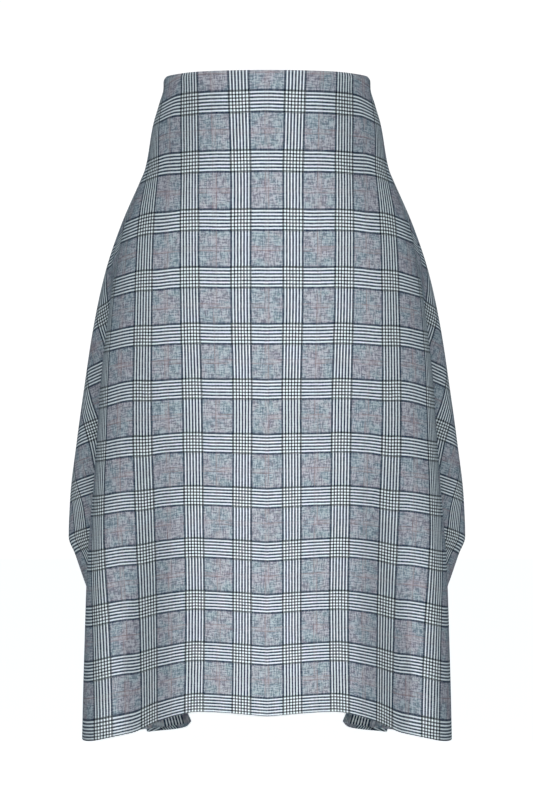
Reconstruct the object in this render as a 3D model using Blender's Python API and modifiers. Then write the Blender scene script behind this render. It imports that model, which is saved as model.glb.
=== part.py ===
"""A worn wool skirt, filled out as on a figure and open at the waist and hem.

The front cloth is wide. At each side it turns in behind itself in a deep soft fold that opens towards
the hem, comes out again as a side wing, and ends at the side seam. Two back panels meet at the centre
back over a concealed zip. Units are metres, +Z is up, the wearer faces -Y, and the origin is the middle
of the waist opening at the height of its top edge.
"""

import math

import bmesh
import bpy
import numpy as np

NAME = "blanket_skirt"

# Cloth and seams
CLOTH = 0.0015
SEAM_GAP = 0.0003
SEAM_BEHIND_WING = 0.015
LENGTH = 0.832

# One row for each level, listed from the waist down. All sizes are on the outer face of the cloth.
# depth: how far the level lies below the waist, measured at the front's rolled side edge
# lip, turn, wing: half widths at the front's rolled edge, the fold's inner turn and the side wing
# front, back: how far the centre front and centre back stand from the middle
# square: 2 for an elliptical front, more for a flat front with tight rolled edges
# flute: how far the hollow between the front's two ridges is set back
LEVEL_COLUMNS = ("depth", "lip", "turn", "wing", "front", "back", "square", "flute")
LEVELS = (
    (0.000, 0.1305, 0.1311, 0.1309, 0.095, 0.092, 2.0, 0.000),
    (0.013, 0.1302, 0.1309, 0.1307, 0.094, 0.095, 2.0, 0.000),
    (0.035, 0.1358, 0.1367, 0.1372, 0.097, 0.100, 2.0, 0.000),
    (0.060, 0.1428, 0.1438, 0.1444, 0.101, 0.106, 2.1, 0.000),
    (0.118, 0.1530, 0.1541, 0.1550, 0.109, 0.119, 2.3, 0.000),
    (0.135, 0.1590, 0.1609, 0.1633, 0.111, 0.123, 2.4, 0.000),
    (0.186, 0.1775, 0.1815, 0.1862, 0.117, 0.131, 2.7, 0.000),
    (0.246, 0.1898, 0.1950, 0.2066, 0.121, 0.136, 3.0, 0.000),
    (0.318, 0.2000, 0.1965, 0.2225, 0.124, 0.138, 3.2, 0.000),
    (0.391, 0.2076, 0.1890, 0.2340, 0.127, 0.137, 3.3, 0.000),
    (0.459, 0.2120, 0.1835, 0.2436, 0.129, 0.135, 3.3, 0.002),
    (0.534, 0.2175, 0.1765, 0.2524, 0.131, 0.131, 3.2, 0.008),
    (0.583, 0.2215, 0.1720, 0.2543, 0.133, 0.127, 3.2, 0.013),
    (0.604, 0.2230, 0.1690, 0.2464, 0.134, 0.125, 3.2, 0.015),
    (0.645, 0.2250, 0.1610, 0.2320, 0.135, 0.122, 3.2, 0.019),
    (0.711, 0.2270, 0.1420, 0.2036, 0.137, 0.116, 3.2, 0.024),
    (0.774, 0.2288, 0.1205, 0.1770, 0.139, 0.110, 3.2, 0.028),
    (LENGTH, 0.2300, 0.0975, 0.1530, 0.140, 0.105, 3.2, 0.030),
)
WIDEST_STEP = 0.055

# How far the rolled edge, the inner turn and the wing's edge lie behind the middle, level by level
SIDE_COLUMNS = ("depth", "lip_y", "turn_y", "wing_y")
SIDES = (
    (0.000, -0.014, 0.002, 0.018),
    (0.118, -0.022, 0.000, 0.024),
    (0.246, -0.038, -0.012, 0.036),
    (0.391, -0.048, -0.014, 0.050),
    (0.585, -0.054, -0.008, 0.056),
    (LENGTH, -0.056, 0.000, 0.046),
)
BACK_SQUARE = 2.3

# How far a bend's handles reach, as a share of its depth from front to back
BEND_PULL = 0.5

# The hem's depth at stations round the half: 0 to 1 is the share of the front's half width, 2 is the
# fold's inner turn, 3 the wing's edge and 4 the centre back.
HEM_COLUMNS = ("station", "depth")
HEM = (
    (0.00, 0.7940),
    (0.36, 0.7884),
    (0.58, 0.8013),
    (0.73, 0.8186),
    (0.87, 0.8245),
    (1.00, 0.8290),
    (2.00, 0.8150),
    (2.20, 0.8222),
    (2.45, 0.8265),
    (2.70, 0.8292),
    (3.00, 0.8320),
    (3.30, 0.8170),
    (3.60, 0.8075),
    (4.00, 0.8040),
)

# The hollow between the ridges, as shares of the front's half width
HOLLOW_START = 0.36
HOLLOW_MIDDLE = 0.74
HOLLOW_END = 0.93

# Columns of cloth in each stretch of a half, and how much closer they stand at its far end
FRONT_COLUMNS = 14
FRONT_CROWDING = 1.5
RETURN_COLUMNS = 6
WING_COLUMNS = 7
BACK_COLUMNS = 11
EDGE_COLUMN = 0.003
SAMPLES = 160

# Zip
ZIP_LENGTH = 0.19
ZIP_TOP = 0.004
TAPE_WIDTH = 0.012
TAPE_THICKNESS = 0.0008
TAPE_GAP = 0.0005
SLIDER_DEPTH = 0.013
SLIDER_WIDTH = 0.0062
SLIDER_THICKNESS = 0.0020
SLIDER_HEIGHT = 0.0100
SLIDER_ROUNDING = 0.0006
CHEEK_WIDTH = 0.0010
CHEEK_DEPTH = 0.0030
CHEEK_HEIGHT = 0.0036
CHEEK_SUNK = 0.0002
CHEEK_GAP = 0.0032
PIN_RADIUS = 0.0005
PIN_ABOVE_SLIDER = 0.0019
PIN_ABOVE_MIDDLE = 0.0025
PIN_SIDES = 16
EYE_CLEARANCE = 0.0003
EYE_WALL = 0.0007
EYE_WIDTH = 0.0024
EYE_SIDES = 20
TAB_WIDTH = 0.0042
TAB_THICKNESS = 0.0010
TAB_ROUNDING = 0.0004
TAB_START = 0.0030
NECK_OVERLAP = 0.0010
TAB_LENGTH = 0.0210
ROUNDING_SEGMENTS = 2

# Finishes: linear colour, roughness and metallic value
FINISHES = {
    "checked_wool": ((0.30, 0.33, 0.37), 0.85, 0.0),
    "zip_tape": ((0.05, 0.06, 0.09), 0.80, 0.0),
    "zip_metal": ((0.20, 0.21, 0.24), 0.35, 1.0),
}


def column(rows, names, name):
    """One named column of a table, as an array."""
    return np.array([row[names.index(name)] for row in rows])


def smooth(x, xs, ys):
    """A smooth line through (xs, ys) that never overshoots them (monotone cubic)."""
    steps = np.diff(xs)
    slopes = np.diff(ys) / steps
    tangents = np.zeros(len(xs))
    tangents[0] = slopes[0]
    tangents[-1] = slopes[-1]
    for i in range(1, len(xs) - 1):
        before, after = slopes[i - 1], slopes[i]
        if before * after > 0:
            near = 2 * steps[i] + steps[i - 1]
            far = steps[i] + 2 * steps[i - 1]
            tangents[i] = (near + far) / (near / before + far / after)
    i = np.clip(np.searchsorted(xs, x) - 1, 0, len(xs) - 2)
    t = (np.clip(x, xs[0], xs[-1]) - xs[i]) / steps[i]
    return (
        (1 + 2 * t) * (1 - t) ** 2 * ys[i]
        + t * (1 - t) ** 2 * steps[i] * tangents[i]
        + t * t * (3 - 2 * t) * ys[i + 1]
        - t * t * (1 - t) * steps[i] * tangents[i + 1]
    )


def level(depth):
    """All named sizes of the section at this depth."""
    sizes = {}
    for rows, names in ((LEVELS, LEVEL_COLUMNS), (SIDES, SIDE_COLUMNS)):
        depths = column(rows, names, "depth")
        for name in names[1:]:
            sizes[name] = float(smooth(depth, depths, column(rows, names, name)))
    return sizes


def hollow(share):
    """From 0 to 1 and back: the front's hollow across its half width, steepest near its middle."""
    rise = np.clip((share - HOLLOW_START) / (HOLLOW_MIDDLE - HOLLOW_START), 0, 1)
    fall = np.clip((HOLLOW_END - share) / (HOLLOW_END - HOLLOW_MIDDLE), 0, 1)
    return rise**3 * (4 - 3 * rise) * fall * fall * (3 - 2 * fall)


def bend(start, end, t):
    """A curve from start to end that leaves and arrives straight back, along +Y."""
    pull = BEND_PULL * (end[1] - start[1])
    handles = ((start[0], start[1] + pull), (end[0], end[1] - pull))
    weights = ((1 - t) ** 3, 3 * t * (1 - t) ** 2, 3 * t * t * (1 - t), t**3)
    corners = (start, *handles, end)
    return sum(w[:, None] * np.array(p) for w, p in zip(weights, corners))


def half_section(depth):
    """Points (x, y) and hem stations round a half, from the centre front to the centre back.

    The front is a superellipse quarter, the fold is two bends and the back is a quarter again. The
    result is a list of stretches: front, return, wing and back.
    """
    s = level(depth)
    t = np.linspace(0, 1, SAMPLES)
    angle = t * math.pi / 2

    across = np.sin(angle) ** (2 / s["square"])
    forward = np.cos(angle) ** (2 / s["square"])
    front_y = s["lip_y"] - (s["lip_y"] + s["front"]) * forward
    front = np.stack([s["lip"] * across, front_y + s["flute"] * hollow(across)], 1)

    lip = (s["lip"], s["lip_y"])
    turn = (s["turn"], s["turn_y"])
    wing = (s["wing"], s["wing_y"])
    across_back = np.cos(angle) ** (2 / BACK_SQUARE)
    back_y = s["wing_y"] + (s["back"] - s["wing_y"]) * np.sin(angle) ** (2 / BACK_SQUARE)
    back = np.stack([s["wing"] * across_back, back_y], 1)
    return (
        (front, across),
        (bend(lip, turn, t), 1 + t),
        (bend(turn, wing, t), 2 + t),
        (back, 3 + t),
    )


def arc(points):
    """Distance run along a line of points."""
    return np.concatenate([[0], np.cumsum(np.linalg.norm(np.diff(points, axis=0), axis=1))])


def at_distance(stretch, distances):
    """(x, y) and stations at these distances along a stretch."""
    points, stations = stretch
    run = arc(points)
    return np.stack(
        [np.interp(distances, run, line) for line in (points[:, 0], points[:, 1], stations)], 1
    )


def front_half(depth):
    """Columns of the front panel's half: front, return, wing and the start of the back."""
    front, fold, wing, back = half_section(depth)
    steps = np.linspace(0, 1, FRONT_COLUMNS + 1)[:-1]
    spaced = 1 - (1 - steps) ** FRONT_CROWDING
    parts = [at_distance(front, spaced * arc(front[0])[-1])]
    for stretch, count in ((fold, RETURN_COLUMNS), (wing, WING_COLUMNS)):
        shares = np.linspace(0, 1, count + 1)[:-1]
        parts.append(at_distance(stretch, shares * arc(stretch[0])[-1]))
    edge = SEAM_BEHIND_WING - SEAM_GAP / 2
    parts.append(at_distance(back, np.array([0, edge - EDGE_COLUMN, edge])))
    return np.concatenate(parts)


def back_half(depth):
    """Columns of a back panel, from the side seam to the centre back."""
    back = half_section(depth)[3]
    start = SEAM_BEHIND_WING + SEAM_GAP / 2
    end = arc(back[0])[-1] - SEAM_GAP / 2
    inner = np.linspace(start, end, BACK_COLUMNS + 1)[1:-1]
    return at_distance(back, np.concatenate([[start, start + EDGE_COLUMN], inner, [end]]))


def placed(row, depth):
    """(x, y, z) of one row of columns, with its dip towards the hem's own depths."""
    hem = smooth(row[:, 2], column(HEM, HEM_COLUMNS, "station"), column(HEM, HEM_COLUMNS, "depth"))
    return np.stack([row[:, 0], row[:, 1], -depth * hem / LENGTH], 1)


def depths():
    """The rows' depths: each level, and one between levels that are far apart."""
    levels = column(LEVELS, LEVEL_COLUMNS, "depth")
    rows = [levels[0]]
    for above, below in zip(levels, levels[1:]):
        if below - above > WIDEST_STEP:
            rows.append((above + below) / 2)
        rows.append(below)
    return rows


def material(name):
    """A plain Principled material with the finish of this name."""
    colour, roughness, metallic = FINISHES[name]
    made = bpy.data.materials.new(name)
    made.use_nodes = True
    shader = made.node_tree.nodes["Principled BSDF"]
    shader.inputs["Base Color"].default_value = (*colour, 1)
    shader.inputs["Roughness"].default_value = roughness
    shader.inputs["Metallic"].default_value = metallic
    return made


def collection(name):
    """A new collection in the scene."""
    made = bpy.data.collections.new(name)
    bpy.context.scene.collection.children.link(made)
    return made


def sheet(name, rows, finish, thickness, where):
    """A wall of cloth: an open surface through the rows, thickened inwards with Solidify.

    Rows run down and columns run towards +X on the front, so that the faces point outwards.
    """
    grid = np.array(rows)
    down, across = grid.shape[:2]
    faces = []
    for i in range(down - 1):
        for j in range(across - 1):
            a = i * across + j
            faces.append((a, a + across, a + across + 1, a + 1))
    mesh = bpy.data.meshes.new(name)
    mesh.from_pydata(grid.reshape(-1, 3).tolist(), [], faces)
    mesh.materials.append(finish)
    mesh.shade_smooth()
    made = bpy.data.objects.new(name, mesh)
    where.objects.link(made)
    wall = made.modifiers.new("wall", "SOLIDIFY")
    wall.thickness = thickness
    wall.offset = -1
    return made


def mirrored(half):
    """A whole row from the half at +X: its mirror image first, then itself, sharing the centre."""
    return np.concatenate([half[:0:-1] * (-1, 1, 1), half])


def build_front(cloth, where):
    """The front panel with its side folds and wings."""
    rows = [mirrored(placed(front_half(depth), depth)) for depth in depths()]
    sheet("front_panel", rows, cloth, CLOTH, where)


def build_back(cloth, tape, where):
    """The two back panels, from the side seams to the centre back, and the zip's tapes on them."""
    half = np.array([placed(back_half(depth), depth) for depth in depths()])
    strip = tape_strip(half)
    for side, grid in (("left", half), ("right", flipped(half))):
        sheet(f"back_panel_{side}", grid, cloth, CLOTH, where)
    for side, grid in (("left", strip), ("right", flipped(strip))):
        sheet(f"zip_tape_{side}", grid, tape, TAPE_THICKNESS, where)


def flipped(grid):
    """The mirror image of a grid, with its columns in the other order so that it still faces out."""
    return grid[:, ::-1] * (-1, 1, 1)


def tape_strip(panel):
    """A zip tape's points: the panel's own beside the centre back, moved in through the cloth."""
    down = np.gradient(panel, axis=0)
    across = np.gradient(panel, axis=1)
    out = np.cross(down, across)
    out /= np.linalg.norm(out, axis=2, keepdims=True)
    inner = panel - out * (CLOTH + TAPE_GAP)
    rows = inner[: sum(depth <= ZIP_LENGTH for depth in depths())]
    rows[0] += (rows[1] - rows[0]) * ZIP_TOP / depths()[1]
    edge = rows[:, -1]
    inwards = rows[:, -2] - edge
    inwards /= np.linalg.norm(inwards, axis=1, keepdims=True)
    return np.stack([edge + inwards * TAPE_WIDTH, edge + inwards * SEAM_GAP], 1)


def centre_back(depth):
    """(y, z) of the cloth's outer face on the centre back seam, at this depth."""
    edge = placed(back_half(depth), depth)[-1]
    return np.array([edge[1], edge[2]])


def block(name, size, place, where):
    """A box of this size with its middle at this place."""
    mesh = bpy.data.meshes.new(name)
    shape = bmesh.new()
    bmesh.ops.create_cube(shape, size=1)
    bmesh.ops.scale(shape, vec=size, verts=shape.verts)
    shape.to_mesh(mesh)
    shape.free()
    made = bpy.data.objects.new(name, mesh)
    made.location = place
    where.objects.link(made)
    return made


def rod(name, radius, length, sides, place, where):
    """A cylinder along X with its middle at this place."""
    mesh = bpy.data.meshes.new(name)
    shape = bmesh.new()
    bmesh.ops.create_cone(
        shape, cap_ends=True, segments=sides, radius1=radius, radius2=radius, depth=length
    )
    shape.to_mesh(mesh)
    shape.free()
    made = bpy.data.objects.new(name, mesh)
    made.rotation_euler = (0, math.pi / 2, 0)
    made.location = place
    where.objects.link(made)
    return made


def rounded(piece, width):
    """A Bevel on all edges of a piece."""
    step = piece.modifiers.new("rounding", "BEVEL")
    step.width = width
    step.segments = ROUNDING_SEGMENTS


def combine(target, operation, other):
    """A Boolean on target with a helper object, which isn't rendered."""
    step = target.modifiers.new(operation.lower(), "BOOLEAN")
    step.operation = operation
    step.object = other
    step.solver = "EXACT"
    other.hide_render = True
    other.display_type = "WIRE"


def build_zip_end(where):
    """An empty on the seam below the top edge, tilted so that its -Z runs down the cloth."""
    upper, lower = centre_back(SLIDER_DEPTH), centre_back(SLIDER_DEPTH + TAB_LENGTH)
    out, down = lower - upper
    slope = math.atan2(out, -down)
    end = bpy.data.objects.new("zip_end", None)
    end.location = (0, upper[0] + SEAM_GAP / math.cos(slope), upper[1])
    end.rotation_euler = (slope, 0, 0)
    where.objects.link(end)
    return end


def build_slider(metal, end, where, helpers):
    """The slider on the outside of the seam, with two cheeks that hold the tab's pin."""
    size = (SLIDER_WIDTH, SLIDER_THICKNESS, SLIDER_HEIGHT)
    slider = block("zip_slider", size, (0, SLIDER_THICKNESS / 2, 0), where)
    slider.parent = end
    slider.data.materials.append(metal)
    rounded(slider, SLIDER_ROUNDING)
    pin_y = SLIDER_THICKNESS + PIN_ABOVE_SLIDER
    cheek_size = (CHEEK_WIDTH, CHEEK_DEPTH, CHEEK_HEIGHT)
    cheek_y = SLIDER_THICKNESS + CHEEK_DEPTH / 2 - CHEEK_SUNK
    cheek_middles = CHEEK_GAP + CHEEK_WIDTH
    for side in (-1, 1):
        place = (side * cheek_middles / 2, cheek_y, PIN_ABOVE_MIDDLE)
        cheek = block("slider_cheek", cheek_size, place, helpers)
        cheek.parent = end
        combine(slider, "UNION", cheek)
    place = (0, pin_y, PIN_ABOVE_MIDDLE)
    pin = rod("slider_pin", PIN_RADIUS, cheek_middles, PIN_SIDES, place, helpers)
    pin.parent = end
    combine(slider, "UNION", pin)
    return place


def build_tab(metal, hinge, end, where, helpers):
    """The pull tab: an eye round the pin and a plate that hangs from it, hinged on the pin."""
    axis = bpy.data.objects.new("tab_hinge", None)
    axis.location = hinge
    axis.parent = end
    where.objects.link(axis)
    inner = PIN_RADIUS + EYE_CLEARANCE
    tab = rod("zip_pull_tab", inner + EYE_WALL, EYE_WIDTH, EYE_SIDES, (0, 0, 0), where)
    tab.parent = axis
    tab.data.materials.append(metal)
    neck_high = TAB_START + NECK_OVERLAP - inner
    neck_z = -inner - neck_high / 2
    neck = block("tab_neck", (EYE_WIDTH, TAB_THICKNESS, neck_high), (0, 0, neck_z), helpers)
    plate_high = TAB_LENGTH - TAB_START
    plate_z = -TAB_START - plate_high / 2
    plate = block("tab_plate", (TAB_WIDTH, TAB_THICKNESS, plate_high), (0, 0, plate_z), helpers)
    rounded(plate, TAB_ROUNDING)
    eye = rod("tab_eye", inner, 2 * EYE_WIDTH, EYE_SIDES, (0, 0, 0), helpers)
    for helper, operation in ((neck, "UNION"), (plate, "UNION"), (eye, "DIFFERENCE")):
        helper.parent = axis
        combine(tab, operation, helper)


def main():
    for old in list(bpy.context.scene.objects):
        bpy.data.objects.remove(old, do_unlink=True)
    parts = collection(NAME)
    helpers = collection("cutters")
    cloth, tape, metal = (material(name) for name in FINISHES)
    build_front(cloth, parts)
    build_back(cloth, tape, parts)
    end = build_zip_end(parts)
    hinge = build_slider(metal, end, parts, helpers)
    build_tab(metal, hinge, end, parts, helpers)


main()
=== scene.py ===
import math

import bpy
import numpy as np
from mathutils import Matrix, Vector


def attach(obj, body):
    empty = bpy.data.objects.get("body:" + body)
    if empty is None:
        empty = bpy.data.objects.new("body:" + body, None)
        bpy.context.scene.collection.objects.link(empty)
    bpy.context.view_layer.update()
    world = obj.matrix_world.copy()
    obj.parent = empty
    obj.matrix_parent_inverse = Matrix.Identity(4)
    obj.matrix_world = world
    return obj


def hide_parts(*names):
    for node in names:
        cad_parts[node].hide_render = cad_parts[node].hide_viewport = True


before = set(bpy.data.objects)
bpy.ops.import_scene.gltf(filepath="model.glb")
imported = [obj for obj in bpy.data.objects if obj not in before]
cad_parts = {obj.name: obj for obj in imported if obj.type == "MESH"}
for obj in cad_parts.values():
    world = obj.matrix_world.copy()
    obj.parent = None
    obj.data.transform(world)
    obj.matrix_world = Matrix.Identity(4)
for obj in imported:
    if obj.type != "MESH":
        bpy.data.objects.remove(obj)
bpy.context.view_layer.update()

# A midi skirt in a glen check, hollow and in its worn form: three panels of cloth with turned
# and overlocked edges, a concealed zip at the centre back, and a plain studio round them.
# Sizes are in metres.

# The skirt's sections, as the solids have them. One row for each level, from the waist down.
# depth: how far the level lies below the waist, measured at the front's rolled side edge
# lip, turn, wing: half widths at the front's rolled edge, the fold's inner turn and the side wing
# front, back: how far the centre front and centre back stand from the middle
# square: 2 for an elliptical front, more for a flat front with tight rolled edges
# flute: how far the hollow between the front's two ridges is set back
LENGTH = 0.832
LEVEL_COLUMNS = ("depth", "lip", "turn", "wing", "front", "back", "square", "flute")
LEVELS = (
    (0.000, 0.1305, 0.1311, 0.1309, 0.095, 0.092, 2.0, 0.000),
    (0.013, 0.1302, 0.1309, 0.1307, 0.094, 0.095, 2.0, 0.000),
    (0.035, 0.1358, 0.1367, 0.1372, 0.097, 0.100, 2.0, 0.000),
    (0.060, 0.1428, 0.1438, 0.1444, 0.101, 0.106, 2.1, 0.000),
    (0.118, 0.1530, 0.1541, 0.1550, 0.109, 0.119, 2.3, 0.000),
    (0.135, 0.1590, 0.1609, 0.1633, 0.111, 0.123, 2.4, 0.000),
    (0.186, 0.1775, 0.1815, 0.1862, 0.117, 0.131, 2.7, 0.000),
    (0.246, 0.1898, 0.1950, 0.2066, 0.121, 0.136, 3.0, 0.000),
    (0.318, 0.2000, 0.1965, 0.2225, 0.124, 0.138, 3.2, 0.000),
    (0.391, 0.2076, 0.1890, 0.2340, 0.127, 0.137, 3.3, 0.000),
    (0.459, 0.2120, 0.1835, 0.2436, 0.129, 0.135, 3.3, 0.002),
    (0.534, 0.2175, 0.1765, 0.2524, 0.131, 0.131, 3.2, 0.008),
    (0.583, 0.2215, 0.1720, 0.2543, 0.133, 0.127, 3.2, 0.013),
    (0.604, 0.2230, 0.1690, 0.2464, 0.134, 0.125, 3.2, 0.015),
    (0.645, 0.2250, 0.1610, 0.2320, 0.135, 0.122, 3.2, 0.019),
    (0.711, 0.2270, 0.1420, 0.2036, 0.137, 0.116, 3.2, 0.024),
    (0.774, 0.2288, 0.1205, 0.1770, 0.139, 0.110, 3.2, 0.028),
    (LENGTH, 0.2300, 0.0975, 0.1530, 0.140, 0.105, 3.2, 0.030),
)
# How far the rolled edge, the inner turn and the wing's edge lie behind the middle
SIDE_COLUMNS = ("depth", "lip_y", "turn_y", "wing_y")
SIDES = (
    (0.000, -0.014, 0.002, 0.018),
    (0.118, -0.022, 0.000, 0.024),
    (0.246, -0.038, -0.012, 0.036),
    (0.391, -0.048, -0.014, 0.050),
    (0.585, -0.054, -0.008, 0.056),
    (LENGTH, -0.056, 0.000, 0.046),
)
# The back's own squareness, and how far a fold's curve runs straight back at each end, as a share
# of its depth
BACK_SQUARE = 2.3
BEND_PULL = 0.5
# The hem's depth at stations round the half: 0 to 1 is the share of the front's half width, 2 is
# the fold's inner turn, 3 the wing's edge and 4 the centre back.
HEM_COLUMNS = ("station", "depth")
HEM = (
    (0.00, 0.7940),
    (0.36, 0.7884),
    (0.58, 0.8013),
    (0.73, 0.8186),
    (0.87, 0.8245),
    (1.00, 0.8290),
    (2.00, 0.8150),
    (2.20, 0.8222),
    (2.45, 0.8265),
    (2.70, 0.8292),
    (3.00, 0.8320),
    (3.30, 0.8170),
    (3.60, 0.8075),
    (4.00, 0.8040),
)
# Where the hollow between the front's ridges starts, is deepest and ends, as shares of the half
HOLLOW_START = 0.36
HOLLOW_MIDDLE = 0.74
HOLLOW_END = 0.93
# How far round the cloth the side seam lies behind the wing's edge
SEAM_BEHIND_WING = 0.015
# Points in each of a section's stretches, and the ends between which these run
SAMPLES = 500
CENTRE_FRONT, LIP, TURN, WING, CENTRE_BACK = range(5)
# The waist's edge rolls in at the sides, over its first millimetres.
WAIST_ROLL = 0.0042
WAIST_ROLL_DEPTH = 0.0075
WAIST_ROLL_START = 0.085
WAIST_ROLL_END = 0.128

# Soft creases: troughs and ridges that run down the cloth, on top of the sections' own form.
# side: -1 and 1 for the halves at -X and +X. station and lean: where a crease runs at its start,
# and how far it drifts by its end. width in stations, height in metres, out of the face.
# A crease has its full height after 1 / CREASE_RISE of its length.
CREASE_COLUMNS = ("side", "station", "lean", "start", "end", "width", "height")
CREASES = (
    (1, 0.50, -0.06, 0.30, 0.90, 0.07, 0.0012),
    (-1, 0.51, -0.05, 0.33, 0.90, 0.07, 0.0012),
    (1, 0.66, -0.06, 0.34, 0.90, 0.05, -0.0016),
    (-1, 0.65, -0.05, 0.31, 0.90, 0.05, -0.0015),
    (1, 3.30, 0.04, 0.28, 0.90, 0.05, 0.0040),
    (-1, 3.33, 0.02, 0.33, 0.90, 0.05, 0.0036),
    (1, 3.43, 0.05, 0.36, 0.90, 0.045, -0.0046),
    (-1, 3.45, 0.04, 0.30, 0.90, 0.05, -0.0048),
    (1, 3.60, 0.03, 0.22, 0.90, 0.06, 0.0042),
    (-1, 3.62, 0.02, 0.26, 0.90, 0.06, 0.0038),
    (1, 3.80, 0.00, 0.34, 0.90, 0.05, -0.0042),
    (-1, 3.77, 0.02, 0.38, 0.90, 0.055, -0.0036),
)
CREASE_RISE = 2.5

# Cloth, turned edges and seam allowances. At a seam the two rounded edges press together, which
# closes the gap that the short flats of their round would leave.
CLOTH = 0.0010
SEAM_GAP = -0.00008
FOLD_RADIUS = 0.00115
FOLD_STEPS = 7
HEM_ALLOWANCE = 0.030
WAIST_ALLOWANCE = 0.022
SEAM_ALLOWANCE = 0.012
ALLOWANCE_STEPS = 4
# The pieces' flat sizes as cut, with their allowances, and the cloth in each
FRONT_FLAT = (1.18, 0.884)
FRONT_AREA = 0.74
BACK_FLAT = (0.33, 0.884)
BACK_AREA = 0.235
# The grids of the panels: rows down the skirt, and columns across each stretch of it. Above 1,
# FRONT_CROWDING sets the front's columns closer together towards its rolled edges.
ROWS = 190
WAIST_ROWS = 4
WAIST_ROWS_DEPTH = 0.0062
FRONT_COLUMNS = 44
FRONT_CROWDING = 1.5
RETURN_COLUMNS = 14
WING_COLUMNS = 20
SEAM_COLUMNS = 4
BACK_COLUMNS = 44
# How far from a point its neighbours lie that give the directions of the face there
SURFACE_STEP = 0.0006

# The check. Its repeat is counted from the centre front round the skirt, and from the waist down.
# Whole numbers across lie in the middle of the plain ground, and halves in the middle of a group
# of stripes. Whole numbers down lie in the middle of a group of stripes.
# GROUPS: how far round the cloth the middles of the front's groups of upright stripes lie, from
# the centre front, at each depth. GROUP_COUNTS has their counts.
GROUP_COLUMNS = ("depth", "first", "second", "third", "fourth")
GROUPS = (
    (0.000, 0.0360, 0.1025, 0.1690, 0.2370),
    (0.080, 0.0335, 0.0985, 0.1610, 0.2300),
    (0.150, 0.0320, 0.0965, 0.1535, 0.2240),
    (0.290, 0.0320, 0.0950, 0.1535, 0.2155),
    (0.430, 0.0300, 0.0915, 0.1540, 0.2155),
    (0.570, 0.0305, 0.0895, 0.1525, 0.2170),
    (0.700, 0.0305, 0.0875, 0.1515, 0.2145),
    (LENGTH, 0.0315, 0.0890, 0.1515, 0.2150),
)
# The first count mirrors the second. Past the fourth group a repeat is SIDE_REPEAT long.
GROUP_COUNTS = (-0.5, 0.5, 1.5, 2.5, 3.5, 5.0)
SIDE_REPEAT = 0.0625
# row: the count of repeats down, at the centre front
ROW_COLUMNS = ("depth", "row")
CHECK_ROWS = (
    (0.0000, 0.5),
    (0.0400, 1.0),
    (0.1950, 3.0),
    (0.3425, 5.0),
    (0.4840, 7.0),
    (0.6215, 9.0),
    (0.7545, 11.0),
    (0.8205, 12.0),
    (0.8720, 12.8),
)
# How much deeper a row of the check lies at FALL_STATIONS than at the centre front. The first
# station mirrors the third, so that the rows run smoothly through the centre front.
FALL_STATIONS = (-0.32, 0.0, 0.32, 0.58, 0.80, 1.0)
FALL_COLUMNS = ("depth", "inner", "flank", "side", "roll")
FALLS = (
    (0.000, 0.0015, 0.0010, 0.0020, 0.0120),
    (0.040, 0.0015, 0.0010, 0.0015, 0.0115),
    (0.120, 0.0015, 0.0000, -0.0020, 0.0050),
    (0.195, 0.0020, -0.0010, -0.0030, 0.0050),
    (0.270, 0.0020, -0.0020, -0.0060, 0.0000),
    (0.340, 0.0020, -0.0030, -0.0100, -0.0055),
    (0.415, 0.0020, -0.0040, -0.0130, -0.0065),
    (0.485, 0.0015, -0.0055, -0.0135, -0.0110),
    (0.555, 0.0005, -0.0065, -0.0145, -0.0120),
    (0.620, -0.0005, -0.0070, -0.0145, -0.0115),
    (0.690, 0.0000, -0.0055, -0.0125, -0.0095),
    (0.755, -0.0005, -0.0040, -0.0105, -0.0075),
    (0.820, 0.0000, -0.0005, -0.0005, -0.0010),
)
# The check at the wing's edge, where the cloth comes out of the side fold with its grain leaning
# slope: repeats across in a metre of cloth, inwards from the edge
EDGE_COLUMNS = ("depth", "across", "row", "slope")
WING_EDGE = (
    (0.000, 2.95, 0.42, 15.0),
    (0.050, 3.25, 1.03, 15.5),
    (0.100, 3.56, 1.56, 15.5),
    (0.150, 3.99, 2.14, 14.0),
    (0.200, 4.36, 2.66, 11.5),
    (0.250, 4.56, 3.25, 11.5),
    (0.300, 4.87, 3.88, 11.8),
    (0.350, 5.28, 4.54, 12.5),
    (0.400, 5.66, 5.21, 14.0),
    (0.450, 6.09, 5.89, 15.0),
    (0.500, 6.53, 6.59, 18.0),
    (0.550, 6.99, 7.33, 20.0),
    (0.600, 7.13, 8.09, 20.0),
    (0.650, 7.22, 8.88, 20.0),
    (LENGTH, 8.23, 12.08, 17.5),
)
# The wing shows this much cloth inwards from its edge, or this share of the side where that is
# less. Its rows fall by WING_FALL repeats in a metre, which sets in softly between the two depths
# of WING_LOOSE.
WING_SHOWN = 0.055
WING_SHOWN_SHARE = 0.6
WING_FALL = 3.93
WING_LOOSE = (0.15, 0.30)
# The back's repeat, and by how much its rows are shifted against the front's, in repeats
BACK_REPEAT = 0.0640
BACK_ROW_SHIFT = -0.08

# The check's stripes. A pitch is one navy and one white line of a group.
# pitches: pitches in a repeat. middle: the count at the middle of a group.
# white: half the width of a white line, in pitches. Softness and border are in pitches too.
# WHITE_PLACE is where in a pitch its white line has its middle, and CROSSING_EXTRA is how much
# wider each half of it is where two groups cross. The weave repeats after TWILL threads.
# COUNT_SHIFT keeps the threads' numbers above 0.
WARP = {"pitches": 16.5, "middle": 0.5, "white": 0.21}
WEFT = {"pitches": 17, "middle": 0.0, "white": 0.23}
WHITE_LINES = 6
WHITE_PLACE = 0.75
LINE_SOFTNESS = 0.05
BORDER_EXTRA = 0.14
BORDER_SOFTNESS = 0.06
CROSSING_EXTRA = 0.08
THREADS_IN_PITCH = 8
TWILL = 4
COUNT_SHIFT = 100
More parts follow.
